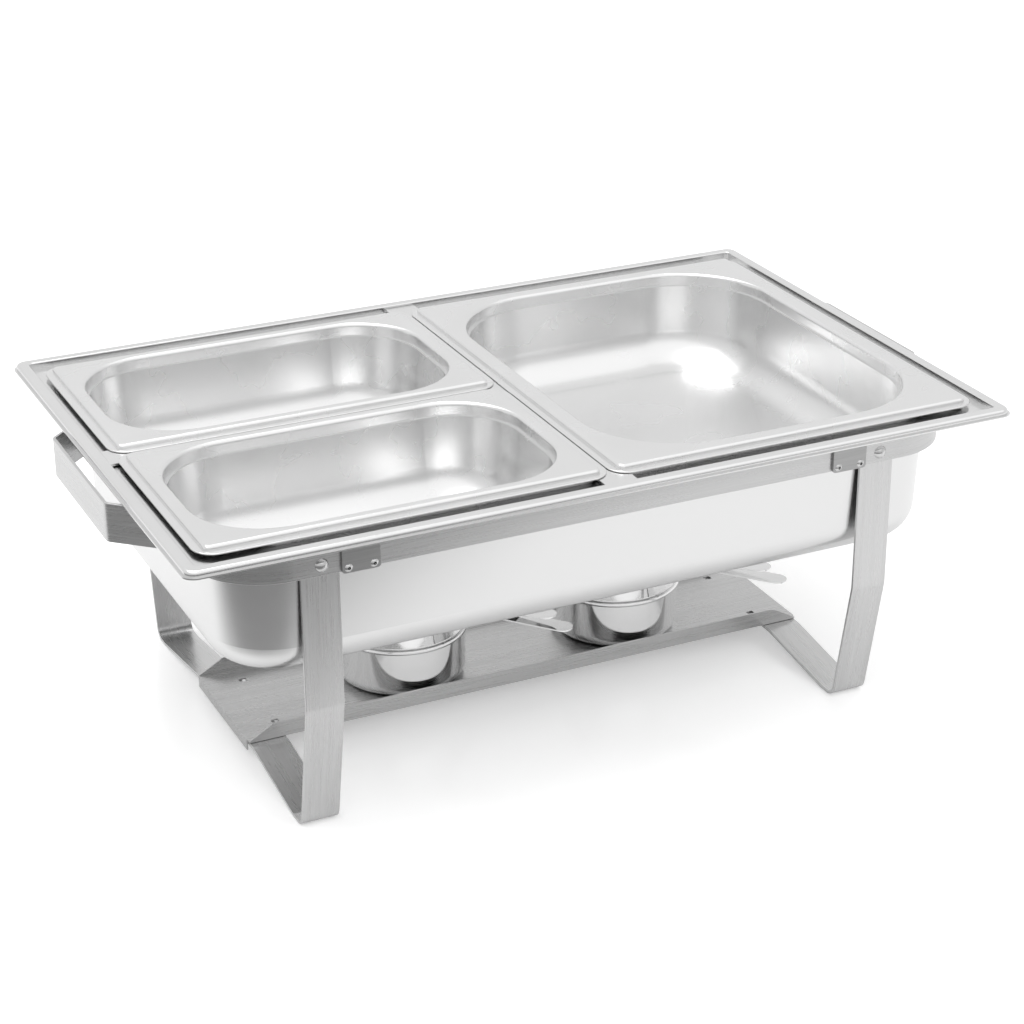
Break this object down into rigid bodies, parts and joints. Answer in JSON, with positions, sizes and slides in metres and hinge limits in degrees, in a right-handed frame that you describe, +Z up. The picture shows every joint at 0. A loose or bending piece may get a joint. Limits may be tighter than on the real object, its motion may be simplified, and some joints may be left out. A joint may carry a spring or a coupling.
{
  "type": "chafing dish food warmer",
  "caption": "Rectangular chafing dish: food pans in a water pan on a folding strap frame, with a tray of fuel burners beneath.",
  "frame": {"origin": "on the table, under the middle of the dish", "axes": "+X along the length towards the half-size pan, -Y the front, +Z up"},
  "size_m": [0.576, 0.366, 0.209],
  "materials": {
    "pan_steel": "satin stainless steel, drawn sheet",
    "water_pan_steel": "satin stainless steel, drawn sheet",
    "bar_steel": "satin stainless steel",
    "strap_steel": "stainless strap brushed along its length",
    "plate_steel": "brushed stainless steel, slightly darker",
    "tray_steel": "stainless sheet brushed lengthwise",
    "rivet_steel": "polished stainless rivet",
    "burner_steel": "mirror-polished stainless steel"
  },
  "bodies": {
    "frame": {"end_band_left": "strap_steel", "end_band_right": "strap_steel", "side_rail_front": "strap_steel", "side_rail_back": "strap_steel", "splice_plate_front_left": "plate_steel", "splice_plate_front_right": "plate_steel", "splice_plate_back_left": "plate_steel", "splice_plate_back_right": "plate_steel", "splice_rivets": "rivet_steel", "leg_pivot_rivets": "rivet_steel", "handle_left": "strap_steel", "handle_right": "strap_steel", "handle_rivets": "rivet_steel"},
    "left_leg": {"leg_left": "strap_steel"},
    "right_leg": {"leg_right": "strap_steel"},
    "water_pan_body": {"water_pan": "water_pan_steel", "divider_bar_long": "bar_steel", "divider_bar_short": "bar_steel"},
    "half_pan": {"food_pan_half": "pan_steel"},
    "front_quarter_pan": {"food_pan_quarter_front": "pan_steel"},
    "rear_quarter_pan": {"food_pan_quarter_rear": "pan_steel"},
    "tray": {"burner_tray": "tray_steel"},
    "left_cup": {"burner_cup_left": "burner_steel"},
    "left_cap": {"burner_cap_left": "burner_steel", "shutter_rivet_left": "rivet_steel"},
    "left_shutter": {"burner_shutter_left": "burner_steel"},
    "right_cup": {"burner_cup_right": "burner_steel"},
    "right_cap": {"burner_cap_right": "burner_steel", "shutter_rivet_right": "rivet_steel"},
    "right_shutter": {"burner_shutter_right": "burner_steel"}
  },
  "joints": [
    {"name": "left_leg_fold", "type": "hinge", "parent": "frame", "child": "left_leg", "pos_m": [-0.1911, 0, 0.18575], "axis": [0, -1, 0], "range_deg": [0, 88]},
    {"name": "right_leg_fold", "type": "hinge", "parent": "frame", "child": "right_leg", "pos_m": [0.1911, 0, 0.18575], "axis": [0, 1, 0], "range_deg": [0, 88]},
    {"name": "water_pan_lift", "type": "slide", "parent": "frame", "child": "water_pan_body", "axis": [0, 0, 1], "range_m": [0, 0.215]},
    {"name": "tray_lift", "type": "slide", "parent": "frame", "child": "tray", "axis": [0, 0, 1], "range_m": [0, 0.215]},
    {"name": "half_pan_lift", "type": "slide", "parent": "water_pan_body", "child": "half_pan", "axis": [0, 0, 1], "range_m": [0, 0.1]},
    {"name": "front_quarter_pan_lift", "type": "slide", "parent": "water_pan_body", "child": "front_quarter_pan", "axis": [0, 0, 1], "range_m": [0, 0.1]},
    {"name": "rear_quarter_pan_lift", "type": "slide", "parent": "water_pan_body", "child": "rear_quarter_pan", "axis": [0, 0, 1], "range_m": [0, 0.1]},
    {"name": "left_burner_lift", "type": "slide", "parent": "tray", "child": "left_cup", "axis": [0, 0, 1], "range_m": [0, 0.018]},
    {"name": "left_cap_lift", "type": "slide", "parent": "left_cup", "child": "left_cap", "axis": [0, 0, 1], "range_m": [0, 0.01]},
    {"name": "left_shutter_swing", "type": "hinge", "parent": "left_cap", "child": "left_shutter", "pos_m": [-0.05707, -0.02375, 0.0747], "axis": [0, 0, 1], "range_deg": [0, 100]},
    {"name": "right_burner_lift", "type": "slide", "parent": "tray", "child": "right_cup", "axis": [0, 0, 1], "range_m": [0, 0.018]},
    {"name": "right_cap_lift", "type": "slide", "parent": "right_cup", "child": "right_cap", "axis": [0, 0, 1], "range_m": [0, 0.01]},
    {"name": "right_shutter_swing", "type": "hinge", "parent": "right_cap", "child": "right_shutter", "pos_m": [0.10493, -0.02375, 0.0747], "axis": [0, 0, 1], "range_deg": [0, 100]}
  ],
  "couplings": [
    {"joint": "right_leg_fold", "follows": "left_leg_fold", "ratio": 1},
    {"joint": "water_pan_lift", "follows": "left_leg_fold", "m_per_rad": 0.1375},
    {"joint": "tray_lift", "follows": "left_leg_fold", "m_per_rad": 0.1375}
  ]
}
